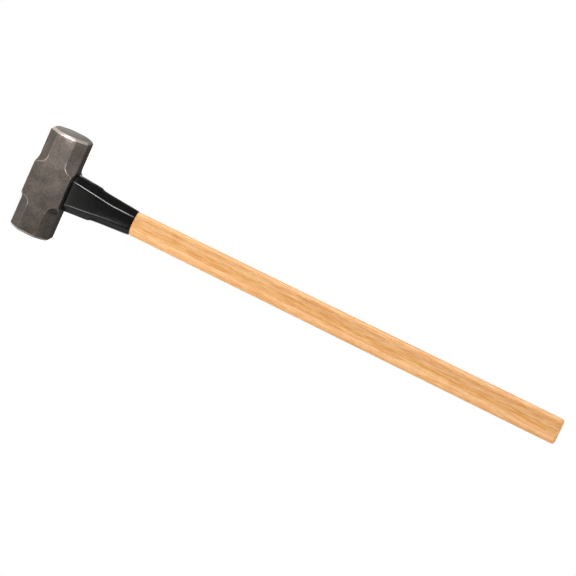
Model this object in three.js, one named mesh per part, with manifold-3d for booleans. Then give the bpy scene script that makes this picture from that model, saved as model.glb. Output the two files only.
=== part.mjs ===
// Long-handled sledgehammer: forged double-faced head, hickory handle held by one wooden and two
// steel wedges, and a moulded guard below the head. Millimetres. The hammer stands on the outer side
// of its head: +Z runs up the handle, X is the striking axis and Y is the thickness.
import * as THREE from 'three';
import { mergeVertices } from 'three/addons/utils/BufferGeometryUtils.js';
import Module from 'manifold-3d';

const wasm = await Module();
wasm.setup();

const CLEARANCE = 0.3;
const ROUND_SEGMENTS = 48;

// Head
const HEAD_HALF_SIDE = 32.5;
const HEAD_SIDE = 2 * HEAD_HALF_SIDE;
const BODY_HALF_LENGTH = 81;
const FACE_HALF_LENGTH = 88.3;
const CROWN_EDGE_X = 85.1;
const CROWN_EDGE_RADIUS = 30.5;
const CROWN_MIDDLE_X = 87.2;
const CROWN_MIDDLE_RADIUS = 20.5;
const CROWN_FLAT_RADIUS = 12;
const BARREL_RADIUS = 36.6;
const CHEEK_HALF_LENGTH = 27.5;
const CHAMFER_DISTANCE = 34.1;
const RUN_OUT_RADIUS = 13.5;
const BARREL_START = CHEEK_HALF_LENGTH + RUN_OUT_RADIUS;
const RUN_OUT_STEPS = 9;

// Eye through the head: height, half length along X, half width along Y
const EYE = [
  [0, 18.5, 13.8],
  [14, 17.1, 12.4],
  [28, 16.5, 11.8],
  [46, 16.9, 12.1],
  [HEAD_SIDE, 17.6, 12.6],
];

// Handle
const HANDLE_LENGTH = 914;
const TENON_RECESS = 0.5;
const GUARD_TOP = 178;
const BUTT_ROUNDING = 5;
const SHOULDER = [19.5, 15.5];
const RABBET = [17.4, 13.2];
const GRIP = [
  [GUARD_TOP + CLEARANCE, 19.6, 15.4],
  [245, 19.8, 15.6],
  [460, 20.1, 15.9],
  [600, 20.5, 16.2],
  [780, 20.9, 16.5],
];
const BUTT = [21.1, 16.7];

// Wedges
const WEDGE_TOP = 0.6;
const WOOD_WEDGE_DEPTH = 46;
const WOOD_WEDGE_THICK = 5.6;
const WOOD_WEDGE_TIP = 1.2;
const STEEL_WEDGE_DEPTH = 28;
const STEEL_WEDGE_THICK = 3.2;
const STEEL_WEDGE_TIP = 0.9;
const STEEL_WEDGE_WIDTH = 15;
const STEEL_WEDGE_X = 7.5;
const STEEL_WEDGE_ANGLE = THREE.MathUtils.degToRad(20);

// Guard sections: height, half length X, half width Y, front panel half width, end panel half height,
// and how far the outline has become an ellipse
const GUARD = [
  [HEAD_SIDE + CLEARANCE, 30.5, 17.8, 17.4, 7.4, 0.1],
  [HEAD_SIDE + 1.5, 31.2, 18.5, 17.8, 7.8, 0.1],
  [88, 29.5, 18.0, 16.9, 7.4, 0.15],
  [109, 27.7, 17.6, 15.9, 7.0, 0.25],
  [114, 25.6, 17.4, 15.2, 6.8, 0.3],
  [145, 22.8, 16.9, 12.9, 6.6, 0.55],
  [GUARD_TOP - 2, 20.2, 16.2, 10.7, 6.4, 0.9],
  [GUARD_TOP, 19.4, 15.4, 10.3, 6.0, 0.9],
];
const SECTION_EDGE_STEPS = 6;

const forgedSteel = new THREE.MeshStandardMaterial({ color: 0x786e69, roughness: 0.5, metalness: 0.8 });
const hickory = new THREE.MeshStandardMaterial({ color: 0xe2ab70, roughness: 0.4, metalness: 0 });
const wedgeWood = new THREE.MeshStandardMaterial({ color: 0xcf9c66, roughness: 0.7, metalness: 0 });
const wedgeSteelA = new THREE.MeshStandardMaterial({ color: 0x8d8f92, roughness: 0.45, metalness: 0.9 });
const wedgeSteelB = wedgeSteelA.clone();
const guardRubber = new THREE.MeshStandardMaterial({ color: 0x1a1816, roughness: 0.3, metalness: 0 });

/** Closed solid from a closed geometry. */
function toSolid(geometry) {
  const bare = geometry.clone();
  bare.deleteAttribute('normal');
  bare.deleteAttribute('uv');
  const welded = mergeVertices(bare, 1e-4);
  return new wasm.Manifold(new wasm.Mesh({
    numProp: 3,
    vertProperties: new Float32Array(welded.attributes.position.array),
    triVerts: new Uint32Array(welded.index.array),
  }));
}

/** Mesh node from a solid. */
function toNode(name, solid, material) {
  const mesh = solid.getMesh();
  const geometry = new THREE.BufferGeometry();
  geometry.setAttribute('position', new THREE.BufferAttribute(new Float32Array(mesh.vertProperties), 3));
  geometry.setIndex(new THREE.BufferAttribute(new Uint32Array(mesh.triVerts), 1));
  geometry.computeVertexNormals();
  const node = new THREE.Mesh(geometry, material);
  node.name = name;
  return node;
}

/** Straight-line value between the rows of a table whose first column is the height. */
function rowAt(table, z) {
  const above = table.findIndex((row) => row[0] >= z - 1e-6);
  if (above <= 0) {
    return table[Math.max(above, 0)];
  }
  const low = table[above - 1];
  const high = table[above];
  const share = (z - low[0]) / (high[0] - low[0]);
  return low.map((value, i) => THREE.MathUtils.lerp(value, high[i], share));
}

/**
 * Closed solid through a stack of sections. The table's first column is the height; outline(row, turn)
 * gives the section's point at a share of one turn.
 */
function loft(table, segments, outline) {
  const rim = table.map((row) => new THREE.Vector2(1, row[0]));
  const bottom = new THREE.Vector2(0, rim[0].y);
  const top = new THREE.Vector2(0, rim[rim.length - 1].y);
  const geometry = new THREE.LatheGeometry([bottom, ...rim, top], segments);
  const position = geometry.attributes.position;
  const perTurn = table.length + 2;
  for (let i = 0; i < position.count; i += 1) {
    const turn = (Math.floor(i / perTurn) % segments) / segments;
    const row = (i % perTurn) - 1;
    const z = position.getY(i);
    const onAxis = row < 0 || row >= table.length;
    const point = onAxis ? [0, 0] : outline(table[row], turn);
    position.setXYZ(i, point[0], point[1], z);
  }
  return toSolid(geometry);
}

/** Point of an oval section. */
function ovalPoint([, halfX, halfY], turn) {
  const angle = 2 * Math.PI * turn;
  return [halfX * Math.cos(angle), halfY * Math.sin(angle)];
}

/** Point of a rectangle with cut corners that turns into an ellipse as the row's last value nears one. */
function guardPoint([, halfX, halfY, panel, end, roundness], turn) {
  const corners = [
    [halfX, -end], [halfX, end], [panel, halfY], [-panel, halfY],
    [-halfX, end], [-halfX, -end], [-panel, -halfY], [panel, -halfY],
  ];
  const along = turn * corners.length;
  const from = corners[Math.floor(along) % corners.length];
  const to = corners[(Math.floor(along) + 1) % corners.length];
  const share = along % 1;
  const x = THREE.MathUtils.lerp(from[0], to[0], share);
  const y = THREE.MathUtils.lerp(from[1], to[1], share);
  const reach = Math.hypot(x / halfX, y / halfY);
  const scale = THREE.MathUtils.lerp(1, 1 / reach, roundness);
  return [x * scale, y * scale];
}

/** Table with every half width changed by the same amount. */
function offset(table, amount) {
  return table.map(([z, halfX, halfY]) => [z, halfX + amount, halfY + amount]);
}

/** Square block across the cheeks, as long as the chamfers leave the head's edges whole. */
function cheekBlock() {
  return toSolid(new THREE.BoxGeometry(2 * BARREL_START, HEAD_SIDE, HEAD_SIDE));
}

/** Square bar from the cheeks to one striking face, turned there to a bevel and a slight crown. */
function barrel(side) {
  const reach = FACE_HALF_LENGTH - BARREL_START;
  const bar = new THREE.BoxGeometry(reach, HEAD_SIDE, HEAD_SIDE);
  bar.translate(side * (BARREL_START + reach / 2), 0, 0);
  const profile = [
    new THREE.Vector2(0, 0),
    new THREE.Vector2(2 * HEAD_HALF_SIDE, 0),
    new THREE.Vector2(2 * HEAD_HALF_SIDE, BODY_HALF_LENGTH),
    new THREE.Vector2(BARREL_RADIUS, BODY_HALF_LENGTH),
    new THREE.Vector2(CROWN_EDGE_RADIUS, CROWN_EDGE_X),
    new THREE.Vector2(CROWN_MIDDLE_RADIUS, CROWN_MIDDLE_X),
    new THREE.Vector2(CROWN_FLAT_RADIUS, FACE_HALF_LENGTH),
    new THREE.Vector2(0, FACE_HALF_LENGTH),
  ];
  const turned = new THREE.LatheGeometry(profile, ROUND_SEGMENTS);
  turned.rotateZ(-side * Math.PI / 2);
  return toSolid(bar).intersect(toSolid(turned));
}

/** Cutter for one long edge of one striking end: a flat chamfer that leaves the cheek by a hollow curve. */
function chamferCutter(turn, side) {
  const outline = new THREE.Shape();
  const far = 2 * FACE_HALF_LENGTH;
  const high = CHAMFER_DISTANCE + 2 * RUN_OUT_RADIUS;
  const centreX = CHEEK_HALF_LENGTH + RUN_OUT_RADIUS;
  const centreY = CHAMFER_DISTANCE + RUN_OUT_RADIUS;
  outline.moveTo(far, high);
  outline.lineTo(CHEEK_HALF_LENGTH, high);
  outline.absarc(centreX, centreY, RUN_OUT_RADIUS, Math.PI, 1.5 * Math.PI, false);
  outline.lineTo(far, CHAMFER_DISTANCE);
  outline.closePath();
  const geometry = new THREE.ExtrudeGeometry(outline, {
    depth: HEAD_SIDE,
    bevelEnabled: false,
    curveSegments: RUN_OUT_STEPS,
  });
  geometry.translate(0, 0, -HEAD_HALF_SIDE);
  if (side < 0) {
    geometry.rotateY(Math.PI);
  }
  geometry.rotateX(Math.PI / 4 + turn * Math.PI / 2);
  return toSolid(geometry);
}

/** Forged head: square cheeks, chamfered barrels, crowned striking faces and the hourglass eye. */
function buildHead() {
  let head = cheekBlock().add(barrel(1)).add(barrel(-1));
  for (let turn = 0; turn < 4; turn += 1) {
    head = head.subtract(chamferCutter(turn, 1)).subtract(chamferCutter(turn, -1));
  }
  head = head.translate([0, 0, HEAD_HALF_SIDE]);
  const first = EYE[0];
  const last = EYE[EYE.length - 1];
  const through = [[-1, first[1], first[2]], ...EYE, [HEAD_SIDE + 1, last[1], last[2]]];
  return head.subtract(loft(through, ROUND_SEGMENTS, ovalPoint));
}

/** Tenon sections: the eye less a clearance, stopping just short of the head's outer side. */
function tenonTable() {
  const inside = offset(EYE, -CLEARANCE);
  const bottom = rowAt(inside, TENON_RECESS);
  const top = rowAt(inside, HEAD_SIDE);
  return [
    [TENON_RECESS, bottom[1], bottom[2]],
    ...inside.slice(1, -1),
    [HEAD_SIDE + CLEARANCE, top[1], top[2]],
  ];
}

/** Wood from the shoulder on the head to the guard's far end, less the given clearance. */
function seatTable(clearance) {
  return offset([
    [HEAD_SIDE + CLEARANCE, ...SHOULDER],
    [GUARD_TOP + CLEARANCE, ...RABBET],
  ], clearance);
}

/** Wedge blank with its thickness tapering along Z, extruded across X. */
function taperedBlank(thick, tip, depth, width, grow) {
  const outline = new THREE.Shape();
  outline.moveTo(-thick / 2 - grow, WEDGE_TOP);
  outline.lineTo(thick / 2 + grow, WEDGE_TOP);
  outline.lineTo(tip / 2 + grow, WEDGE_TOP + depth + grow);
  outline.lineTo(-tip / 2 - grow, WEDGE_TOP + depth + grow);
  outline.closePath();
  const length = width + 2 * grow;
  const geometry = new THREE.ExtrudeGeometry(outline, { depth: length, bevelEnabled: false });
  geometry.translate(0, 0, -length / 2);
  geometry.rotateX(Math.PI / 2);
  geometry.rotateZ(Math.PI / 2);
  return toSolid(geometry);
}

/** Opening for a wedge: the wedge's own shape grown by a clearance and carried out through the end. */
function wedgeSlot(thick, tip, depth, width) {
  const slot = taperedBlank(thick, tip, depth, width, CLEARANCE);
  const mouth = new THREE.BoxGeometry(width + 2 * CLEARANCE, thick + 2 * CLEARANCE, 4);
  mouth.translate(0, 0, WEDGE_TOP - 2 + 0.001);
  return slot.add(toSolid(mouth));
}

/** Places a steel wedge, or its slot, on one side of the wooden wedge's middle and turned across it. */
function placeSteel(solid, side) {
  const degrees = 90 - THREE.MathUtils.radToDeg(STEEL_WEDGE_ANGLE);
  return solid.rotate([0, 0, degrees]).translate([side * STEEL_WEDGE_X, 0, 0]);
}

/** Both slots for the steel wedges. */
function steelSlots() {
  const slot = wedgeSlot(STEEL_WEDGE_THICK, STEEL_WEDGE_TIP, STEEL_WEDGE_DEPTH, STEEL_WEDGE_WIDTH);
  return placeSteel(slot, -1).add(placeSteel(slot, 1));
}

/** Handle: wedged tenon, shouldered seat under the guard, swelling grip and rounded butt. */
function buildHandle() {
  const buttStart = HANDLE_LENGTH - BUTT_ROUNDING;
  const buttRows = [0, 0.5, 0.8, 1].map((share) => {
    const inset = BUTT_ROUNDING * (1 - Math.sqrt(1 - share * share));
    return [buttStart + BUTT_ROUNDING * share, BUTT[0] - inset, BUTT[1] - inset];
  });
  const tenon = loft(tenonTable(), ROUND_SEGMENTS, ovalPoint);
  const seat = loft(seatTable(0), ROUND_SEGMENTS, ovalPoint);
  const grip = loft([...GRIP, ...buttRows], ROUND_SEGMENTS, ovalPoint);
  const kerf = wedgeSlot(WOOD_WEDGE_THICK, WOOD_WEDGE_TIP, WOOD_WEDGE_DEPTH, 4 * EYE[0][1]);
  return tenon.add(seat).add(grip).subtract(kerf).subtract(steelSlots());
}

/** Wooden wedge filling the saw kerf from one end of the eye to the other. */
function buildWoodWedge() {
  const blank = taperedBlank(WOOD_WEDGE_THICK, WOOD_WEDGE_TIP, WOOD_WEDGE_DEPTH, 4 * EYE[0][1], 0);
  const tenon = loft(tenonTable(), ROUND_SEGMENTS, ovalPoint);
  return blank.intersect(tenon).subtract(steelSlots());
}

/** Steel wedge driven across the wooden one. */
function buildSteelWedge(side) {
  const blank = taperedBlank(STEEL_WEDGE_THICK, STEEL_WEDGE_TIP, STEEL_WEDGE_DEPTH, STEEL_WEDGE_WIDTH, 0);
  return placeSteel(blank, side);
}

/** Guard sleeve: deep against the head, a stepped pad on both striking sides, slim at the far end. */
function buildGuard() {
  const segments = 8 * SECTION_EDGE_STEPS;
  const [low, high] = seatTable(CLEARANCE);
  const bore = [[low[0] - 1, low[1], low[2]], low, high];
  return loft(GUARD, segments, guardPoint).subtract(loft(bore, segments, ovalPoint));
}

const hammer = new THREE.Group();
hammer.name = 'sledgehammer';
hammer.add(toNode('sledge_head', buildHead(), forgedSteel));
hammer.add(toNode('handle', buildHandle(), hickory));
hammer.add(toNode('wooden_wedge', buildWoodWedge(), wedgeWood));
hammer.add(toNode('steel_wedge_1', buildSteelWedge(-1), wedgeSteelA));
hammer.add(toNode('steel_wedge_2', buildSteelWedge(1), wedgeSteelB));
hammer.add(toNode('overstrike_guard', buildGuard(), guardRubber));

export default hammer;
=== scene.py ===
"""Sledgehammer with a forged head, a hickory handle, its wedges and a moulded guard, laid out as an add-on.

The hammer stands on the outer side of its head. Z runs up the handle and X is the striking axis. Every
surface is worked out in metres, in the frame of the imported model.
"""
import math

import bpy
import numpy as np
from bpy.props import FloatProperty, FloatVectorProperty, PointerProperty
from mathutils import Matrix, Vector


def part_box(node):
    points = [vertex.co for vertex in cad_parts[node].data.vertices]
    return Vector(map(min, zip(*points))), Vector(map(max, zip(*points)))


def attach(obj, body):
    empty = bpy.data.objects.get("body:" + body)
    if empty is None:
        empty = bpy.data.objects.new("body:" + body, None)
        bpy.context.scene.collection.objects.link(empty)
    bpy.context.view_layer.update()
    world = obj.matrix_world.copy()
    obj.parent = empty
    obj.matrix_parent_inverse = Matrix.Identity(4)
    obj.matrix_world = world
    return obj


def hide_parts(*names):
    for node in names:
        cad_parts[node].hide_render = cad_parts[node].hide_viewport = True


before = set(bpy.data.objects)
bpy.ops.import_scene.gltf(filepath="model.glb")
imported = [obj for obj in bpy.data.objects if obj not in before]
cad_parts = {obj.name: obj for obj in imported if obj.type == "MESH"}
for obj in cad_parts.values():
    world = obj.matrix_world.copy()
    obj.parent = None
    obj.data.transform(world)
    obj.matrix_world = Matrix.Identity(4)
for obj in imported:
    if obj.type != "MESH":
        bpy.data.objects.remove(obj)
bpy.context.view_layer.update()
BODY = "root"
MM = 0.001

bl_info = {
    "name": "Sledgehammer",
    "version": (1, 0, 0),
    "blender": (4, 5, 0),
    "location": "3D View > Sidebar > Sledgehammer",
    "description": "Builds a long-handled sledgehammer around its packed model",
    "category": "Add Mesh",
}

HEAD_LOW, HEAD_HIGH = (np.array(corner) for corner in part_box("sledge_head"))
HANDLE_LOW, HANDLE_HIGH = (np.array(corner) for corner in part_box("handle"))
GUARD_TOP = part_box("overstrike_guard")[1][2] / MM


def linear(hex_colour):
    """Linear red, green and blue of an sRGB hex colour."""
    parts = np.array([int(hex_colour[i : i + 2], 16) for i in (1, 3, 5)]) / 255
    return tuple(np.where(parts <= 0.04045, parts / 12.92, ((parts + 0.055) / 1.055) ** 2.4))


def colour(label, text, hex_colour):
    """Colour property with an sRGB hex default."""
    return FloatVectorProperty(
        name=label, description=text, subtype="COLOR", size=3, min=0, max=1, default=linear(hex_colour)
    )


def length(label, text, millimetres):
    """Length property with its default in millimetres."""
    return FloatProperty(name=label, description=text, unit="LENGTH", default=millimetres * MM)


class HeadSettings(bpy.types.PropertyGroup):
    """Sizes and colours of the forged head."""

    cheek: length("Cheek half length", "Half the length of the square block at the eye", 27.5)
    chamfer: length("Chamfer distance", "From the head's axis to the chamfer flats", 34.1)
    run_out: length("Run-out radius", "Hollow curve that ends each chamfer at the cheek", 13.5)
    edge: length("Edge radius", "Rounding along the forged edges", 1.1)
    bevel: length("Bevel start", "Distance from the head's middle to the start of the face bevel", 81.2)
    face_edge: length("Face edge", "Distance from the head's middle to the crown's rim", 85.1)
    face_radius: length("Face radius", "Radius of the crown's rim", 30.4)
    steel: colour("Steel", "Forged and lacquered steel", "#645c56")
    steel_dark: colour("Scale", "Darker patches of scale under the lacquer", "#443e39")
    # Ground steel, which also paints the highlights along the head's rounded edges and round the rims of the
    # hollows.
    bright: colour("Ground steel", "Ground bevels, faces and rubbed edges", "#b9b0a6")


class HandleSettings(bpy.types.PropertyGroup):
    """Sizes and colours of the hickory handle."""

    butt_rounding: length("Butt rounding", "Radius round the edge of the butt", 5.0)
    ring_spacing: length("Ring spacing", "Distance between growth rings", 2.6)
    fleck_length: length("Fleck length", "Length of the pale and dark flecks along the grain", 26.0)
    pore_length: length("Pore length", "Length of the open pores along the grain", 7.0)
    light: colour("Latewood", "Dense pale wood", "#f6c487")
    dark: colour("Earlywood", "Porous darker wood", "#d68f42")
    pore: colour("Pores", "Open pores filled by lacquer", "#8a5a2e")


class GuardSettings(bpy.types.PropertyGroup):
    """Sizes and colours of the moulded guard."""

    edge: length("Edge radius", "Rounding along the panel edges", 8.0)
    black: colour("Black", "Moulded black plastic rubber", "#0e0d0c")


class WedgeSettings(bpy.types.PropertyGroup):
    """Colours of the three wedges."""

    wood: colour("Wedge wood", "Bare sawn hardwood", "#c79763")
    steel: colour("Wedge steel", "Bare rolled steel", "#85878a")


class StageSettings(bpy.types.PropertyGroup):
    """Floor, lights and camera."""

    azimuth: FloatProperty(
        name="Azimuth", description="Camera turn about Z from the front", subtype="ANGLE",
        default=math.radians(-11.06),
    )
    elevation: FloatProperty(
        name="Elevation", description="Camera height angle", subtype="ANGLE", default=math.radians(7.51)
    )
    roll: FloatProperty(
        name="Roll", description="Camera turn about its own axis", subtype="ANGLE",
        default=math.radians(116.15),
    )
    distance: length("Distance", "Camera to its target", 4304.5)
    lens: FloatProperty(name="Lens", description="Focal length in millimetres", default=173.81)
    floor: colour("Floor", "Pale floor", "#f4f4f3")


def surface(name, rings, ends):
    """Mesh object through rings of points, each ring closed on itself.

    rings is an array (ring, point, xyz). Quads join each point to the next in its ring and to the same point
    of the next ring. With ends "poles" a fan of triangles closes the first and last ring to its middle, and
    with ends "joined" the last ring is joined to the first.
    """
    count, around = rings.shape[:2]
    points = rings.reshape(-1, 3)
    index = np.arange(count * around).reshape(count, around)
    turned = np.roll(index, -1, axis=1)
    above = np.roll(index, -1, axis=0)
    above_turned = np.roll(above, -1, axis=1)
    quads = np.stack([index, turned, above_turned, above], axis=-1)
    faces = []
    if ends == "joined":
        faces += quads.reshape(-1, 4).tolist()
    else:
        faces += quads[:-1].reshape(-1, 4).tolist()
        poles = np.stack([rings[0].mean(axis=0), rings[-1].mean(axis=0)])
        first, last = len(points), len(points) + 1
        points = np.concatenate([points, poles])
        bottom = np.stack([np.full(around, first), turned[0], index[0]], axis=-1)
        top = np.stack([np.full(around, last), index[-1], turned[-1]], axis=-1)
        faces += bottom.tolist() + top.tolist()
    mesh = bpy.data.meshes.new(name)
    mesh.from_pydata(points.tolist(), [], faces)
    mesh.update()
    piece = bpy.data.objects.new(name, mesh)
    bpy.context.scene.collection.objects.link(piece)
    return piece


def cut(piece, cutters):
    """Takes the cutters out of a piece and removes them."""
    for cutter in cutters:
        modifier = piece.modifiers.new("cut", "BOOLEAN")
        modifier.operation = "DIFFERENCE"
        modifier.solver = "EXACT"
        modifier.object = cutter
    shape = bpy.data.meshes.new_from_object(
        piece.evaluated_get(bpy.context.evaluated_depsgraph_get())
    )
    piece.modifiers.clear()
    piece.data = shape
    for cutter in cutters:
        bpy.data.objects.remove(cutter)


def shade_smooth(piece, degrees):
    """Smooth shading with edges over the given angle kept sharp."""
    piece.data.shade_smooth()
    piece.data.set_sharp_from_angle(angle=math.radians(degrees))


def finish_piece(piece, node, material):
    """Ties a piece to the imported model: its body, the node it stands for and its material."""
    piece.data.materials.clear()
    piece.data.materials.append(material)
    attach(piece, BODY)
    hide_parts(node)


def smooth_rows(table, heights):
    """Values of a table at the heights: its first column is the height, and a smooth curve joins the rows.

    The curve is piecewise cubic with slopes limited to those of the straight pieces beside each row, so that
    it never overshoots.
    """
    at = np.array([row[0] for row in table], float)
    values = np.array([row[1:] for row in table], float)
    step = np.diff(at)[:, None]
    slope = np.diff(values, axis=0) / step
    product = slope[:-1] * slope[1:]
    safe = np.where(product > 0, slope[:-1] + slope[1:], 1)
    inner = np.where(product > 0, 2 * product / safe, 0)
    tangent = np.concatenate([slope[:1], inner, slope[-1:]])
    cell = np.clip(np.searchsorted(at, heights, side="right") - 1, 0, len(at) - 2)
    t = ((heights - at[cell]) / (at[cell + 1] - at[cell]))[:, None]
    width = step[cell]
    low, high = values[cell], values[cell + 1]
    return (
        (2 * t**3 - 3 * t**2 + 1) * low
        + (t**3 - 2 * t**2 + t) * width * tangent[cell]
        + (3 * t**2 - 2 * t**3) * high
        + (t**3 - t**2) * width * tangent[cell + 1]
    )


def ovals(heights, half_x, half_y, around, start=0):
    """Rings of an upright oval tube: x = a cos u, y = b sin u, z = height, with a and b by height. The first
    point of each ring stands the given number of steps past the X axis."""
    turn = 2 * np.pi * (np.arange(around) + start) / around
    x = np.multiply.outer(half_x, np.cos(turn))
    y = np.multiply.outer(half_y, np.sin(turn))
    z = np.broadcast_to(heights[:, None], x.shape)
    return np.stack([x, y, z], axis=-1)


NOISE, RAMP, MATH, RANGE = "ShaderNodeTexNoise", "ShaderNodeValToRGB", "ShaderNodeMath", "ShaderNodeMapRange"
MAPPING, MIX, BUMP = "ShaderNodeMapping", "ShaderNodeMixRGB", "ShaderNodeBump"
VECTOR_MATH = "ShaderNodeVectorMath"


def add(tree, kind, links=None, stops=(), **settings):
    """Adds a node, sets its properties, and fills its inputs with values or with links to other sockets.

    A colour ramp also takes its stops, each a position and a linear colour or a grey value.
    """
    made = tree.nodes.new(kind)
    for key, value in settings.items():
        setattr(made, key, value)
    for key, value in (links or {}).items():
        if isinstance(value, bpy.types.NodeSocket):
            tree.links.new(value, made.inputs[key])
        else:
            made.inputs[key].default_value = value
    if stops:
        elements = made.color_ramp.elements
        while len(elements) < len(stops):
            elements.new(0.5)
        for element, (position, value) in zip(elements, stops):
            tone = (value, value, value) if isinstance(value, (int, float)) else tuple(value)
            element.position = position
            element.color = (*tone, 1)
    return made


def new_material(name):
    """Empty node material with its shader, its tree and the Object coordinates."""
    material = bpy.data.materials.new(name)
    material.use_nodes = True
    tree = material.node_tree
    tree.nodes.clear()
    shader = tree.nodes.new("ShaderNodeBsdfPrincipled")
    output = tree.nodes.new("ShaderNodeOutputMaterial")
    tree.links.new(shader.outputs["BSDF"], output.inputs["Surface"])
    place = add(tree, "ShaderNodeTexCoord").outputs["Object"]
    return material, tree, shader, place


def rgba(tone):
    """Value of a colour socket, from red, green and blue."""
    return (tone[0], tone[1], tone[2], 1)


def shade(tone, share):
    """A colour made darker or paler by a share."""
    return tuple(share * part for part in tone)


def lacquered_forging(settings):
    """Forged steel under a thin dark lacquer: brown grey, satin, cloudy with scale, with bright ground faces
    and paler edges, as rubbed steel with painted edge highlights. A point attribute says how pale the steel
    is painted there."""
    cloud, speck, grain = 24 * MM, 2.4 * MM, 1.1 * MM
    speck_weight, rubbed_gloss = 1.6, -0.14
    material, tree, shader, place = new_material("lacquered_forging")
    clouds = add(tree, NOISE, {"Vector": place, "Scale": 1 / cloud, "Detail": 2})
    grit = add(tree, NOISE, {"Vector": place, "Scale": 1 / grain, "Detail": 4, "Roughness": 0.65})
    specks = add(tree, NOISE, {"Vector": place, "Scale": 1 / speck, "Detail": 3, "Roughness": 0.75})
    tone = add(
        tree, MATH, {0: specks.outputs["Fac"], 1: speck_weight, 2: clouds.outputs["Fac"]},
        operation="MULTIPLY_ADD",
    )
    share = add(tree, RANGE, {"Value": tone.outputs[0], "From Min": 0.95, "From Max": 1.65})
    skin = add(tree, RAMP, {"Fac": share.outputs[0]}, [(0, settings.steel_dark), (1, settings.steel)])
    # Paleness from the head's points: rubbed steel with painted edge highlights, and ground bevels and faces.
    wear = add(tree, "ShaderNodeAttribute", attribute_name="wear")
    broken_and_highlit = add(tree, MATH, {0: wear.outputs["Fac"], 1: grit.outputs["Fac"]}, operation="MULTIPLY")
    rubbed_and_highlit = add(
        tree, RANGE,
        {"Value": broken_and_highlit.outputs[0], "From Min": 0.15, "From Max": 0.5, "To Min": 0, "To Max": 0.75},
    )
    base = add(
        tree, MIX,
        {"Fac": rubbed_and_highlit.outputs[0], "Color1": skin.outputs["Color"], "Color2": rgba(settings.bright)},
    )
    roughness = add(
        tree, RANGE,
        {"Value": clouds.outputs["Fac"], "From Min": 0.3, "From Max": 0.7, "To Min": 0.4, "To Max": 0.54},
    )
    smoother = add(
        tree, MATH, {0: rubbed_and_highlit.outputs[0], 1: rubbed_gloss, 2: roughness.outputs[0]},
        operation="MULTIPLY_ADD",
    )
    height = add(tree, MATH, {0: grit.outputs["Fac"], 1: clouds.outputs["Fac"]}, operation="ADD")
    bump = add(tree, BUMP, {"Height": height.outputs[0], "Strength": 0.25, "Distance": 0.25 * MM})
    shader.inputs["Metallic"].default_value = 0.85
    tree.links.new(base.outputs[0], shader.inputs["Base Color"])
    tree.links.new(smoother.outputs[0], shader.inputs["Roughness"])
    tree.links.new(bump.outputs[0], shader.inputs["Normal"])
    return material


def lacquered_hickory(settings):
    """Straight-grained hickory, sanded and lacquered: pale and dark stripes along the handle where growth
    rings meet the surface, flecks and fine lines along the grain, short dark pores, and a soft gloss."""
    material, tree, shader, place = new_material("lacquered_hickory")

    # Growth rings are cylinders about a pith beside the handle, and slow noise makes them wander.
    wander, wander_size, along_grain = 12 * MM, 16 * MM, 0.04
    pith = (55 * MM, 90 * MM, 0)
    long_place = add(tree, MAPPING, {"Vector": place, "Scale": (1, 1, along_grain)})
    drift = add(tree, NOISE, {"Vector": long_place.outputs[0], "Scale": 1 / wander_size, "Detail": 2})
    moved = add(
        tree, VECTOR_MATH, {0: drift.outputs["Color"], 1: (wander, wander, 0), 2: long_place.outputs[0]},
        operation="MULTIPLY_ADD",
    )
    from_pith = add(tree, MAPPING, {"Vector": moved.outputs[0], "Location": pith, "Scale": (1, 1, 0)})
    radius = add(tree, VECTOR_MATH, {0: from_pith.outputs[0]}, operation="LENGTH")
    rings = add(
        tree, MATH, {0: radius.outputs["Value"], 1: 1 / settings.ring_spacing}, operation="MULTIPLY"
    )
    part = add(tree, MATH, {0: rings.outputs[0]}, operation="FRACT")
    stripes = add(
        tree, RAMP, {"Fac": part.outputs[0]}, [(0.0, 1.0), (0.22, 0.15), (0.7, 0.0), (1.0, 0.9)]
    )

    # Marks along the grain: size across and along, noise detail and roughness, and where the mark sets in
    # and is full.
    marks = {}
    for mark, across, along, detail, rough, sets_in, full in (
        ("flecks", 2.4 * MM, settings.fleck_length, 3, 0.6, 0.38, 0.62),
        ("lines", 1.3 * MM, 20 * MM, 2, 0.5, 0.4, 0.6),
        ("pores", 0.55 * MM, settings.pore_length, 2, 0.5, 0.56, 0.7),
        ("streaks", 5 * MM, 160 * MM, 3, 0.5, 0.4, 0.66),
    ):
        drawn = add(tree, MAPPING, {"Vector": place, "Scale": (1 / across, 1 / across, 1 / along)})
        noise = add(
            tree, NOISE, {"Vector": drawn.outputs[0], "Scale": 1, "Detail": detail, "Roughness": rough}
        )
        share = add(tree, RAMP, {"Fac": noise.outputs["Fac"]}, [(sets_in, 0), (full, 1)])
        marks[mark] = share.outputs["Color"]

    darkness = 0
    for share, weight in (
        (marks["lines"], 0.22), (stripes.outputs["Color"], 0.3), (marks["flecks"], 0.5),
        (marks["streaks"], 0.3),
    ):
        total = add(tree, MATH, {0: share, 1: weight, 2: darkness}, operation="MULTIPLY_ADD", use_clamp=True)
        darkness = total.outputs[0]
    toned = add(tree, MIX, {"Fac": darkness, "Color1": rgba(settings.light), "Color2": rgba(settings.dark)})
    pore_weight = 0.35
    pore_share = add(tree, MATH, {0: marks["pores"], 1: pore_weight}, operation="MULTIPLY")
    base = add(
        tree, MIX,
        {"Fac": pore_share.outputs[0], "Color1": toned.outputs[0], "Color2": rgba(settings.pore)},
    )
    bump = add(
        tree, BUMP, {"Height": marks["pores"], "Strength": 0.3, "Distance": 0.08 * MM}, invert=True
    )
    shader.inputs["Roughness"].default_value = 0.42
    shader.inputs["Coat Weight"].default_value = 0.1
    shader.inputs["Coat Roughness"].default_value = 0.25
    shader.inputs["IOR"].default_value = 1.5
    tree.links.new(base.outputs[0], shader.inputs["Base Color"])
    tree.links.new(bump.outputs[0], shader.inputs["Normal"])
    return material


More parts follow.
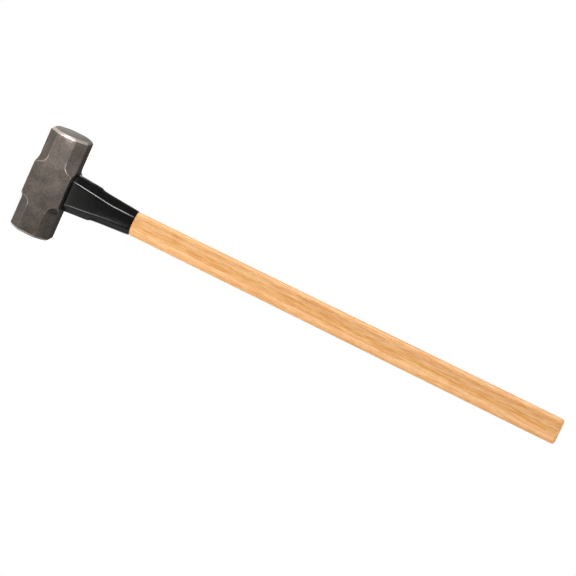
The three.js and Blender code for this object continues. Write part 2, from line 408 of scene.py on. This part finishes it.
def moulded_pvc(settings):
    """Injection-moulded black PVC: deep black with a wet-looking gloss, very slightly uneven."""
    ripple_size, fine_size, palest = 9 * MM, 0.8 * MM, 1.5
    material, tree, shader, place = new_material("moulded_pvc")
    ripple = add(tree, NOISE, {"Vector": place, "Scale": 1 / ripple_size, "Detail": 2})
    fine = add(tree, NOISE, {"Vector": place, "Scale": 1 / fine_size, "Detail": 2})
    dull = add(
        tree, RANGE,
        {"Value": fine.outputs["Fac"], "From Min": 0.3, "From Max": 0.7, "To Min": 0.14, "To Max": 0.22},
    )
    bump = add(tree, BUMP, {"Height": ripple.outputs["Fac"], "Strength": 0.12, "Distance": 0.4 * MM})
    tone = add(
        tree, RAMP, {"Fac": ripple.outputs["Fac"]},
        [(0.3, settings.black), (0.8, shade(settings.black, palest))],
    )
    shader.inputs["IOR"].default_value = 1.5
    tree.links.new(tone.outputs["Color"], shader.inputs["Base Color"])
    tree.links.new(dull.outputs[0], shader.inputs["Roughness"])
    tree.links.new(bump.outputs[0], shader.inputs["Normal"])
    return material


def sawn_hardwood(settings):
    """Bare sawn hardwood: dry, fine grain along the wedge, rough to the light."""
    grain_size, darkest = (1.2 * MM, 0.5 * MM, 12 * MM), 0.6
    material, tree, shader, place = new_material("sawn_hardwood")
    drawn = add(tree, MAPPING, {"Vector": place, "Scale": tuple(1 / size for size in grain_size)})
    grain = add(tree, NOISE, {"Vector": drawn.outputs[0], "Scale": 1, "Detail": 4})
    tone = add(
        tree, RAMP, {"Fac": grain.outputs["Fac"]},
        [(0.35, shade(settings.wood, darkest)), (0.65, settings.wood)],
    )
    bump = add(tree, BUMP, {"Height": grain.outputs["Fac"], "Strength": 0.4, "Distance": 0.15 * MM})
    shader.inputs["Roughness"].default_value = 0.75
    tree.links.new(tone.outputs["Color"], shader.inputs["Base Color"])
    tree.links.new(bump.outputs[0], shader.inputs["Normal"])
    return material


def rolled_steel(settings):
    """Bare rolled strip: grey, drawn lines down the wedge, duller along the paler lines."""
    line_size, darkest = (0.4 * MM, 0.4 * MM, 14 * MM), 0.55
    material, tree, shader, place = new_material("rolled_steel")
    drawn = add(tree, MAPPING, {"Vector": place, "Scale": tuple(1 / size for size in line_size)})
    lines = add(tree, NOISE, {"Vector": drawn.outputs[0], "Scale": 1, "Detail": 3})
    tone = add(
        tree, RAMP, {"Fac": lines.outputs["Fac"]},
        [(0.3, shade(settings.steel, darkest)), (0.7, settings.steel)],
    )
    dull = add(
        tree, RANGE,
        {"Value": lines.outputs["Fac"], "From Min": 0.3, "From Max": 0.7, "To Min": 0.3, "To Max": 0.5},
    )
    shader.inputs["Metallic"].default_value = 1
    tree.links.new(tone.outputs["Color"], shader.inputs["Base Color"])
    tree.links.new(dull.outputs[0], shader.inputs["Roughness"])
    return material


# Points along half a flat, a rounded edge and a chamfer of the head
FLAT_STEPS, EDGE_STEPS, CUT_STEPS = 10, 5, 8
# How pale the steel is painted, from 0 to 1: long edges and rims of the chamfers' hollow ends, as rubbed
# steel with painted edge highlights, and striking faces, as ground steel
EDGE_WEAR_AND_HIGHLIGHT, HOLLOW_WEAR_AND_HIGHLIGHT, FACE_WEAR = 0.42, 0.85, 0.4


def rounded_octagon(half_side, chamfer, edge):
    """Sections of a square bar with cut corners, one row per value of chamfer.

    Each quarter runs half a flat, a rounded edge, the chamfer, a rounded edge and half a flat. A point is its
    place on the bar drawn in by the edge radius, plus the radius along the local normal.
    """
    inner = half_side - edge
    corner = np.minimum(math.sqrt(2) * (chamfer - edge) - inner, inner)
    keys = np.stack([
        np.stack([np.full_like(corner, inner), np.zeros_like(corner)], axis=-1),
        np.stack([np.full_like(corner, inner), corner], axis=-1),
        np.stack([corner, np.full_like(corner, inner)], axis=-1),
        np.stack([np.zeros_like(corner), np.full_like(corner, inner)], axis=-1),
    ], axis=1)
    flat = np.linspace(0, 1, FLAT_STEPS, endpoint=False)
    turn = np.linspace(0, 1, EDGE_STEPS, endpoint=False)
    across = np.linspace(0, 1, CUT_STEPS, endpoint=False)
    place = np.concatenate([flat, 1 + 0 * turn, 1 + across, 2 + 0 * turn, 2 + flat])
    normal = np.concatenate([0 * flat, turn / 8, across * 0 + 1 / 8, 1 / 8 + turn / 8, flat * 0 + 1 / 4])
    low = np.minimum(place.astype(int), 2)
    share = (place - low)[None, :, None]
    quarter = keys[:, low] * (1 - share) + keys[:, low + 1] * share
    angle = 2 * np.pi * normal
    quarter = quarter + edge * np.stack([np.cos(angle), np.sin(angle)], axis=-1)
    turned = [quarter]
    for _ in range(3):
        last = turned[-1]
        turned.append(np.stack([-last[..., 1], last[..., 0]], axis=-1))
    return np.concatenate(turned, axis=1)


def on_edges():
    """1 at the section points of rounded_octagon that lie on its rounded edges, and 0 on its flats."""
    quarter = np.repeat([0, 1, 0, 1, 0], [FLAT_STEPS, EDGE_STEPS, CUT_STEPS, EDGE_STEPS, FLAT_STEPS])
    return np.tile(quarter, 4).astype(float)


def head_rings(settings):
    """Rings of the head along X, and how pale each of their points is, from 0 to 1: rubbed steel with
    painted highlights on the edges, and ground steel on the bevels and faces.

    The chamfer distance is the square's corner at the cheek. It falls along a hollow quarter circle to the
    chamfer flat, and stays there to the bevel. From there each ring is a mix of the octagon and a circle,
    first in along the bevel, then over the crown to the middle of the striking face.
    """
    half = (HEAD_HIGH[2] - HEAD_LOW[2]) / 2
    reach = HEAD_HIGH[0]
    square = math.sqrt(2) * half - (math.sqrt(2) - 1) * settings.edge
    steepest = math.acos(max(-1.0, 1 - (square - settings.chamfer) / settings.run_out))
    angles = np.linspace(steepest, 0, 16)
    run_x = settings.cheek + settings.run_out * (1 - np.sin(angles))
    run_chamfer = settings.chamfer + settings.run_out * (1 - np.cos(angles))
    cheek_x = np.linspace(0, run_x[0], 7)[:-1]
    barrel_x = np.linspace(run_x[-1], settings.bevel, 8)[1:]
    x = np.concatenate([cheek_x, run_x, barrel_x])
    chamfer = np.concatenate([
        np.full_like(cheek_x, square), run_chamfer, np.full_like(barrel_x, settings.chamfer),
    ])
    sections = rounded_octagon(half, chamfer, settings.edge)
    before, after = 2 * MM, 6 * MM
    # The rounded edges are painted paler, as rubbed steel with painted edge highlights, and paler still round
    # the rims of the chamfers' hollow ends, where the extra paleness is a painted highlight.
    near_hollow = np.interp(x, [run_x[0] - before, run_x[0], run_x[-1], run_x[-1] + after], [0, 1, 1, 0])
    edge_wear_and_highlight = EDGE_WEAR_AND_HIGHLIGHT + (HOLLOW_WEAR_AND_HIGHLIGHT - EDGE_WEAR_AND_HIGHLIGHT) * near_hollow
    rubbed_and_highlit = edge_wear_and_highlight[:, None] * on_edges()

    # The rim of the crown is partly a circle and partly the octagon.
    roundness, bevel_power, crown_power, innermost = 0.45, 1.15, 2.2, 0.03
    octagon = sections[-1]
    direction = octagon / np.linalg.norm(octagon, axis=1, keepdims=True)
    rim = settings.face_radius * (roundness * direction + (1 - roundness) * octagon / half)
    ease = np.linspace(0, 1, 7)[1:]
    bevel_x = settings.bevel + (settings.face_edge - settings.bevel) * ease
    bevel = octagon + (rim - octagon) * (ease**bevel_power)[:, None, None]
    inward = np.linspace(1, innermost, 14)[1:]
    crown_x = settings.face_edge + (reach - settings.face_edge) * (1 - inward**crown_power)
    inward = inward[:, None, None]
    circle = settings.face_radius * direction
    crown = inward * (rim + (circle - rim) * (1 - inward))

    side_x = np.concatenate([x, bevel_x, crown_x])
    side = np.concatenate([sections, bevel, crown])
    worn_and_highlit = np.concatenate([rubbed_and_highlit, np.ones(bevel.shape[:2]), np.full(crown.shape[:2], FACE_WEAR)])
    all_x = np.concatenate([-side_x[:0:-1], side_x])
    both = np.concatenate([side[:0:-1], side])
    x_grid = np.broadcast_to(all_x[:, None], both.shape[:2])
    rings = np.stack([x_grid, both[..., 0], both[..., 1] + half], axis=-1)
    return rings, np.concatenate([worn_and_highlit[:0:-1], worn_and_highlit])


class SLEDGE_OT_head(bpy.types.Operator):
    """Build the forged head with its eye"""

    bl_idname = "sledge.head"
    bl_label = "Forged head"

    def execute(self, context):
        settings = context.scene.sledge_head
        rings, worn_and_highlit = head_rings(settings)
        head = surface("forged_head", rings, "poles")
        # Paleness of the steel at each point: rubbed steel with painted highlights on the edges, and ground
        # steel on the bevels and faces.
        wear = head.data.attributes.new("wear", "FLOAT", "POINT")
        wear.data.foreach_set("value", np.concatenate([worn_and_highlit.ravel(), [FACE_WEAR, FACE_WEAR]]))
        cut(head, [eye_cutter()])
        shade_smooth(head, 28)
        finish_piece(head, "sledge_head", lacquered_forging(settings))
        return {"FINISHED"}


def eye_table(clearance):
    """Eye sections: height and half widths along X and Y, less a clearance."""
    rows = [(0, 18.5, 13.8), (14, 17.1, 12.4), (28, 16.5, 11.8), (46, 16.9, 12.1), (65, 17.6, 12.6)]
    return [(z * MM, (a - clearance) * MM, (b - clearance) * MM) for z, a, b in rows]


def eye_cutter():
    """Hourglass oval through the head, flared by a small chamfer at both mouths."""
    past, out, inside, straight, flare_by = 2 * MM, 0.2 * MM, 0.8 * MM, 4 * MM, 0.6 * MM
    top = HEAD_HIGH[2]
    heights = np.concatenate([
        [-past, -out, inside],
        np.linspace(straight, top - straight, 14),
        [top - inside, top + out, top + past],
    ])
    halves = smooth_rows(eye_table(0), np.clip(heights, 0, top))
    flare = np.zeros_like(heights)
    flare[[0, 1, -2, -1]] = flare_by
    halves = halves + flare[:, None]
    # Half a step keeps the eye's points off the head's own grid lines.
    return surface("eye", ovals(heights, halves[:, 0], halves[:, 1], AROUND, start=0.5), "poles")


# Points round the eye and the handle
AROUND = 96
CLEARANCE = 0.3 * MM
# The handle's seat under the guard: height and half widths along X and Y, in millimetres, at both its ends
SHOULDER = (65.3, 19.5, 15.5)
RABBET = (178.3, 17.4, 13.2)
GRIP_START = GUARD_TOP + 0.3


def seat_halves(heights):
    """Half widths of the seat along X and Y: straight lines in height from the shoulder to the rabbet."""
    share = (heights / MM - SHOULDER[0]) / (RABBET[0] - SHOULDER[0])
    return np.stack([(SHOULDER[i] + (RABBET[i] - SHOULDER[i]) * share) * MM for i in (1, 2)], axis=-1)


def handle_rings(settings):
    """Rings of the handle: the tenon follows the eye, a square shoulder sits on the head, the seat tapers
    under the guard, and the grip swells slowly to the rounded butt.

    The butt is a quarter circle in height and half width, and is closed by a flat.
    """
    tenon_end, shoulder_step, grip_step, sharp = 64.5 * MM, 2 * MM, 0.5 * MM, 0.001 * MM
    bottom, top, rounding = HANDLE_LOW[2], HANDLE_HIGH[2], settings.butt_rounding
    tenon_heights = np.concatenate([[bottom, bottom + 0.5 * MM], np.linspace(4 * MM, tenon_end, 16)])
    tenon = smooth_rows(eye_table(CLEARANCE / MM), tenon_heights)
    tenon[0] -= 0.4 * MM
    seat_heights = np.array([65.3, 65.31, 65.8, 110, 150, 177.8, 178.29, 178.3]) * MM
    seat = seat_halves(seat_heights)
    seat[0] -= shoulder_step
    grip_rows = [
        (GRIP_START, 19.6, 15.4), (245, 19.8, 15.6), (460, 20.1, 15.9), (600, 20.5, 16.2),
        (780, 20.9, 16.5), (914, 21.1, 16.7),
    ]
    grip_rows = np.array(grip_rows) * MM
    grip_heights = np.concatenate([
        [GRIP_START * MM + sharp, GRIP_START * MM + grip_step], np.linspace(185 * MM, top - rounding, 60),
    ])
    grip = smooth_rows(grip_rows, grip_heights)
    grip[0] -= grip_step
    turn = np.linspace(0, np.pi / 2, 9)[1:]
    butt_heights = top - rounding + rounding * np.sin(turn)
    butt = smooth_rows(grip_rows, np.full_like(turn, top - rounding))
    butt = butt - rounding * (1 - np.cos(turn))[:, None]
    flat = np.linspace(0.8, 0.05, 6)
    cap = butt[-1] * flat[:, None]
    heights = np.concatenate([
        tenon_heights, seat_heights, grip_heights, butt_heights, np.full_like(flat, top),
    ])
    halves = np.concatenate([tenon, seat, grip, butt, cap])
    return ovals(heights, halves[:, 0], halves[:, 1], AROUND)


WOOD_WEDGE = dict(thick=5.6 * MM, tip=1.2 * MM, deep=46 * MM, wide=74 * MM, turn=0, x=0)
STEEL_WEDGE = dict(thick=3.2 * MM, tip=0.9 * MM, deep=28 * MM, wide=15 * MM, turn=math.radians(70))
STEEL_X = 7.5 * MM
# Height of the wedges' outer ends, just inside the eye's mouth
WEDGE_START = 0.6 * MM
# Tenon rings that trim the wooden wedge to the eye's outline
TENON_RINGS = 18


def taper(name, thick, tip, deep, wide, grow, turn, x):
    """Wedge-shaped block: its half thickness falls in a straight line from the mouth to the tip.

    Each ring is a rectangle with rounded corners, |x / a|^p + |y / b|^p = 1 with a high power p. Grow makes
    the block larger all round and runs it out of the mouth, for a cutter. The block is turned about Z and
    then moved along X.
    """
    rings, around, squareness, past = 12, 48, 0.12, 3 * MM
    low = -past if grow else WEDGE_START
    heights = np.linspace(low, WEDGE_START + deep + grow, rings)
    share = np.clip((heights - WEDGE_START) / deep, 0, 1)
    half = (thick + (tip - thick) * share) / 2 + grow
    angle = np.linspace(0, 2 * np.pi, around, endpoint=False)
    across = np.sign(np.cos(angle)) * np.abs(np.cos(angle)) ** squareness
    along = np.sign(np.sin(angle)) * np.abs(np.sin(angle)) ** squareness
    points = np.stack([
        np.broadcast_to((wide / 2 + grow) * across, (rings, around)),
        half[:, None] * along,
        np.broadcast_to(heights[:, None], (rings, around)),
    ], axis=-1)
    block = surface(name, points, "poles")
    block.data.transform(Matrix.Translation((x, 0, 0)) @ Matrix.Rotation(turn, 4, "Z"))
    return block


def steel_slots():
    """Cutters for both steel wedges."""
    return [
        taper(f"slot_{side}", **STEEL_WEDGE, grow=CLEARANCE, x=side * STEEL_X) for side in (-1, 1)
    ]


class SLEDGE_OT_handle(bpy.types.Operator):
    """Build the hickory handle with its tenon, kerf and butt"""

    bl_idname = "sledge.handle"
    bl_label = "Hickory handle"

    def execute(self, context):
        settings = context.scene.sledge_handle
        handle = surface("hickory_handle", handle_rings(settings), "poles")
        cut(handle, [taper("kerf", **WOOD_WEDGE, grow=CLEARANCE), *steel_slots()])
        shade_smooth(handle, 35)
        finish_piece(handle, "handle", lacquered_hickory(settings))
        return {"FINISHED"}


class SLEDGE_OT_wedges(bpy.types.Operator):
    """Build the wooden wedge and both steel wedges"""

    bl_idname = "sledge.wedges"
    bl_label = "Wedges"

    def execute(self, context):
        settings = context.scene.sledge_wedges
        wooden = taper("sawn_wedge", **WOOD_WEDGE, grow=0)
        trim = wooden.modifiers.new("trim", "BOOLEAN")
        trim.operation = "INTERSECT"
        trim.solver = "EXACT"
        tenon = surface("tenon", handle_rings(context.scene.sledge_handle)[:TENON_RINGS], "poles")
        trim.object = tenon
        cut(wooden, steel_slots())
        bpy.data.objects.remove(tenon)
        shade_smooth(wooden, 30)
        finish_piece(wooden, "wooden_wedge", sawn_hardwood(settings))
        steel = rolled_steel(settings)
        for number, side in ((1, -1), (2, 1)):
            wedge = taper(f"rolled_wedge_{number}", **STEEL_WEDGE, grow=0, x=side * STEEL_X)
            shade_smooth(wedge, 30)
            finish_piece(wedge, f"steel_wedge_{number}", steel)
        return {"FINISHED"}


# Height, half width along X and Y, half widths of the front panel and the end panel, and how far the outline
# has become an ellipse; all but the last in millimetres
GUARD_ROWS = [
    (65.3, 30.5, 17.8, 16.9, 4.6, 0.1), (66.2, 31.1, 18.4, 17.1, 4.8, 0.1), (88, 29.5, 18.0, 15.0, 4.2, 0.1),
    (109, 27.7, 17.6, 12.6, 3.9, 0.1), (114, 25.6, 17.5, 12.0, 3.8, 0.12), (145, 22.8, 16.9, 9.0, 3.4, 0.3),
    (176.8, 20.2, 16.2, 8.9, 4.6, 0.6), (178, 19.5, 15.5, 8.6, 4.4, 0.6),
]


def guard_sections(rows, edge):
    """Guard outlines, one for each row of half widths, front panel, end panel and roundness.

    A quarter of the outline runs half the end panel, a rounded edge, a facet, a rounded edge and half the
    front panel. A point is its place on the outline drawn in by the edge radius, plus the radius along the
    normal. It is then moved in or out towards the ellipse of the same half widths, by the roundness.
    """
    half_x, half_y, panel, end, roundness = rows.T
    in_x, in_y = half_x - edge, half_y - edge
    zero = np.zeros_like(half_x)
    keys = np.stack([
        np.stack([in_x, zero], axis=-1), np.stack([in_x, end], axis=-1),
        np.stack([panel, in_y], axis=-1), np.stack([zero, in_y], axis=-1),
    ], axis=1)
    facet = np.arctan2(in_x - panel, in_y - end)[:, None]
    steps = np.linspace(0, 1, 8, endpoint=False)
    bend = np.linspace(0, 1, 7, endpoint=False)
    front = np.linspace(0, 1, 9)
    place = np.concatenate([steps, 1 + 0 * bend, 1 + steps, 2 + 0 * bend, 2 + front])
    first_bend = np.concatenate([0 * steps, bend, 1 + 0 * steps, 1 + 0 * bend, 1 + 0 * front])
    second_bend = np.concatenate([0 * steps, 0 * bend, 0 * steps, bend, 1 + 0 * front])
    low = np.minimum(place.astype(int), 2)
    share = (place - low)[None, :, None]
    base = keys[:, low] * (1 - share) + keys[:, low + 1] * share
    angle = first_bend * facet + second_bend * (np.pi / 2 - facet)
    quarter = base + edge * np.stack([np.cos(angle), np.sin(angle)], axis=-1)
    reach = np.hypot(quarter[..., 0] / half_x[:, None], quarter[..., 1] / half_y[:, None])
    scale = 1 + roundness[:, None] * (1 / reach - 1)
    quarter = quarter * scale[..., None]
    upper = np.concatenate([quarter, quarter[:, -2:0:-1] * [-1, 1]], axis=1)
    return np.concatenate([upper, quarter * [-1, -1], quarter[:, -2:0:-1] * [1, -1]], axis=1)


def guard_rings(settings):
    """Rings of the guard: up the outside, over the lip, and down the bore, which is the handle's seat plus a
    clearance, to the root."""
    table = [tuple(value * (MM if i < 5 else 1) for i, value in enumerate(row)) for row in GUARD_ROWS]
    root, top = GUARD_ROWS[0][0], GUARD_ROWS[-1][0]
    stops = ((root, 66.2, 4), (66.2, 108, 24), (108, 115, 12), (115, 176, 30), (176, top, 8))
    heights = np.concatenate([
        [root], *(np.linspace(low, high, count)[1:] for low, high, count in stops),
    ]) * MM
    rows = smooth_rows(table, heights)
    outline = guard_sections(rows, settings.edge)
    level = np.broadcast_to(heights[:, None, None], (*outline.shape[:2], 1))
    outside = np.concatenate([outline, level], axis=-1)
    bore_heights = np.linspace(top, root, 20) * MM
    half_x, half_y = (seat_halves(bore_heights) + CLEARANCE).T
    turn = np.arctan2(outline[-1, :, 1] / rows[-1, 1], outline[-1, :, 0] / rows[-1, 0])
    bore = np.stack([
        half_x[:, None] * np.cos(turn), half_y[:, None] * np.sin(turn),
        np.broadcast_to(bore_heights[:, None], (len(bore_heights), len(turn))),
    ], axis=-1)
    return np.concatenate([outside, bore])


class SLEDGE_OT_guard(bpy.types.Operator):
    """Build the moulded guard sleeve"""

    bl_idname = "sledge.guard"
    bl_label = "Moulded guard"

    def execute(self, context):
        settings = context.scene.sledge_guard
        guard = surface("moulded_guard", guard_rings(settings), "joined")
        shade_smooth(guard, 40)
        finish_piece(guard, "overstrike_guard", moulded_pvc(settings))
        return {"FINISHED"}


FLOOR_GAP, FLOOR_THICK, FLOOR_RADIUS = 0.2 * MM, 20 * MM, 1.0
FADE_START, FADE_END = 0.22, 0.6


def floor_material(settings):
    """Matt pale floor, lit from within so that it stays pale. It fades out with distance, so that it meets
    the white surroundings without a line."""
    material, tree, shader, place = new_material("pale_floor")
    shader.inputs["Base Color"].default_value = rgba(settings.floor)
    shader.inputs["Roughness"].default_value = 0.9
    shader.inputs["Emission Color"].default_value = (1, 1, 1, 1)
    shader.inputs["Emission Strength"].default_value = 0.85
    away = add(tree, VECTOR_MATH, {0: place}, operation="LENGTH")
    fade = add(
        tree, RANGE,
        {"Value": away.outputs["Value"], "From Min": FADE_START, "From Max": FADE_END},
        interpolation_type="SMOOTHSTEP",
    )
    clear = add(tree, "ShaderNodeBsdfTransparent")
    mixed = add(
        tree, "ShaderNodeMixShader",
        {0: fade.outputs[0], 1: shader.outputs["BSDF"], 2: clear.outputs[0]},
    )
    output = next(node for node in tree.nodes if node.type == "OUTPUT_MATERIAL")
    tree.links.new(mixed.outputs[0], output.inputs["Surface"])
    return material


def floor_rings():
    """Rings of a thin round slab: out along its underside and back in along its top."""
    around = 64
    angle = np.linspace(0, 2 * np.pi, around, endpoint=False)
    radii = FLOOR_RADIUS * np.array([0.05, 0.4, 1.0, 1.0, 0.4, 0.05])
    depths = FLOOR_THICK * np.array([1, 1, 1, 0, 0, 0])
    return np.stack([
        np.multiply.outer(radii, np.cos(angle)), np.multiply.outer(radii, np.sin(angle)),
        np.broadcast_to(-FLOOR_GAP - depths[:, None], (len(radii), around)),
    ], axis=-1)


SEEN_STRENGTH, LIT_STRENGTH = 1.0, 0.13


def build_world():
    """White surroundings to the eye, and a dimmer even light on the object."""
    world = bpy.data.worlds.new("studio")
    bpy.context.scene.world = world
    world.use_nodes = True
    tree = world.node_tree
    tree.nodes.clear()
    seen = add(tree, "ShaderNodeBackground", {"Color": (1, 1, 1, 1), "Strength": SEEN_STRENGTH})
    lit = add(tree, "ShaderNodeBackground", {"Color": (1, 1, 1, 1), "Strength": LIT_STRENGTH})
    path = add(tree, "ShaderNodeLightPath")
    mixed = add(
        tree, "ShaderNodeMixShader",
        {0: path.outputs["Is Camera Ray"], 1: lit.outputs[0], 2: seen.outputs[0]},
    )
    add(tree, "ShaderNodeOutputWorld", {"Surface": mixed.outputs[0]})


HEAD, HANDLE, GUARD = "forged_head", "hickory_handle", "moulded_guard"
# Name, azimuth in degrees, height, distance, width, tall, radiance, and the pieces it lights, or none for all
LIGHTS = [
    ("left_wall", -102, 0.45, 1.15, 0.9, 1.8, 2.6, (HANDLE,)),
    ("right_wall", 52, 0.45, 1.15, 0.9, 1.8, 3.0, (HANDLE,)),
    ("left_fill", -85, 0.45, 1.15, 0.9, 1.8, 0.2, (HEAD,)),
    ("right_fill", 75, 0.45, 1.15, 0.9, 1.8, 0.4, (HEAD, GUARD)),
    ("front_strip", -38, 0.45, 1.05, 0.2, 1.7, 6.2, (HANDLE,)),
    ("back_left", -125, 0.50, 1.3, 0.6, 1.6, 0.9, (HEAD, HANDLE)),
    ("back_right", 128, 0.50, 1.3, 0.6, 1.6, 1.0, ()),
    ("head_key", -40, 0.08, 0.27, 0.10, 0.16, 40.0, (HEAD,)),
    ("upper_glint", -42, 0.06, 0.5, 0.07, 0.12, 28.0, (GUARD,)),
    ("lower_glint", 29, 0.035, 0.45, 0.12, 0.08, 6.5, (GUARD,)),
]
# Height, how far in front, side and radiance
TOP_LIGHT = (1.75, 0.1, 0.8, 1.7)
TARGET = (-15.8 * MM, -0.1 * MM, 441.2 * MM)
CAMERA_REACH = 50


def aim(place, target, roll=0.0):
    """Matrix that stands at a place and looks down its -Z at a target, turned about its own axis.

    Its right is Z crossed with the line back from the target, its upright is that line crossed with its
    right, and the turn then mixes both by its cosine and sine.
    """
    back = np.array(place, float) - np.array(target, float)
    back /= np.linalg.norm(back)
    right = np.cross([0, 0, 1], back)
    right /= np.linalg.norm(right)
    up = np.cross(back, right)
    turned_right = math.cos(roll) * right + math.sin(roll) * up
    turned_up = math.cos(roll) * up - math.sin(roll) * right
    columns = np.stack([turned_right, turned_up, back, place], axis=1)
    return Matrix([*columns.tolist(), [0, 0, 0, 1]])


def area_light(name, matrix, width, tall, radiance):
    """Rectangular light that the camera doesn't see: its power is pi times its area times its radiance."""
    light = bpy.data.lights.new(name, "AREA")
    light.shape = "RECTANGLE"
    light.size = width
    light.size_y = tall
    light.energy = math.pi * width * tall * radiance
    lamp = bpy.data.objects.new(name, light)
    lamp.matrix_world = matrix
    lamp.visible_camera = False
    bpy.context.scene.collection.objects.link(lamp)
    return lamp


def collection_of(name, pieces):
    """Collection of the pieces that a light falls on."""
    made = bpy.data.collections.new(name)
    for piece in pieces:
        made.objects.link(bpy.data.objects[piece])
    return made


class SLEDGE_OT_stage(bpy.types.Operator):
    """Set out the floor, the lights and the camera"""

    bl_idname = "sledge.stage"
    bl_label = "Stage"

    def execute(self, context):
        settings = context.scene.sledge_stage
        build_world()
        floor = surface("floor", floor_rings(), "poles")
        floor.data.materials.append(floor_material(settings))
        for name, azimuth, height, distance, width, tall, radiance, pieces in LIGHTS:
            turn = math.radians(azimuth)
            place = (distance * math.sin(turn), -distance * math.cos(turn), height)
            lamp = area_light(name, aim(place, (0, 0, height)), width, tall, radiance)
            if pieces:
                lamp.light_linking.receiver_collection = collection_of(name, pieces)
        height, front, side, radiance = TOP_LIGHT
        area_light("top", Matrix.Translation((0, -front, height)), side, side, radiance)
        camera = bpy.data.cameras.new("camera")
        camera.lens = settings.lens
        camera.clip_end = CAMERA_REACH
        eye = bpy.data.objects.new("camera", camera)
        back = np.array([
            math.sin(settings.azimuth) * math.cos(settings.elevation),
            -math.cos(settings.azimuth) * math.cos(settings.elevation),
            math.sin(settings.elevation),
        ])
        eye.matrix_world = aim(np.array(TARGET) + back * settings.distance, TARGET, settings.roll)
        context.scene.collection.objects.link(eye)
        context.scene.camera = eye
        context.scene.view_settings.view_transform = "Standard"
        return {"FINISHED"}


class SLEDGE_PT_panel(bpy.types.Panel):
    """Buttons for the hammer's pieces"""

    bl_label = "Sledgehammer"
    bl_space_type = "VIEW_3D"
    bl_region_type = "UI"
    bl_category = "Sledgehammer"

    def draw(self, context):
        for operator in OPERATORS:
            self.layout.operator(operator.bl_idname)


OPERATORS = (SLEDGE_OT_head, SLEDGE_OT_handle, SLEDGE_OT_wedges, SLEDGE_OT_guard, SLEDGE_OT_stage)
SETTINGS = {
    "sledge_head": HeadSettings,
    "sledge_handle": HandleSettings,
    "sledge_guard": GuardSettings,
    "sledge_wedges": WedgeSettings,
    "sledge_stage": StageSettings,
}


def register():
    """Registers the settings, the operators and the panel."""
    for name, group in SETTINGS.items():
        bpy.utils.register_class(group)
        setattr(bpy.types.Scene, name, PointerProperty(type=group))
    for item in (*OPERATORS, SLEDGE_PT_panel):
        bpy.utils.register_class(item)


def unregister():
    """Takes back what register did."""
    for item in (SLEDGE_PT_panel, *reversed(OPERATORS)):
        bpy.utils.unregister_class(item)
    for name, group in SETTINGS.items():
        delattr(bpy.types.Scene, name)
        bpy.utils.unregister_class(group)


def main():
    """Builds the whole hammer."""
    register()
    for build in (
        bpy.ops.sledge.head, bpy.ops.sledge.handle, bpy.ops.sledge.wedges, bpy.ops.sledge.guard,
        bpy.ops.sledge.stage,
    ):
        build()


if __name__ == "__main__":
    main()
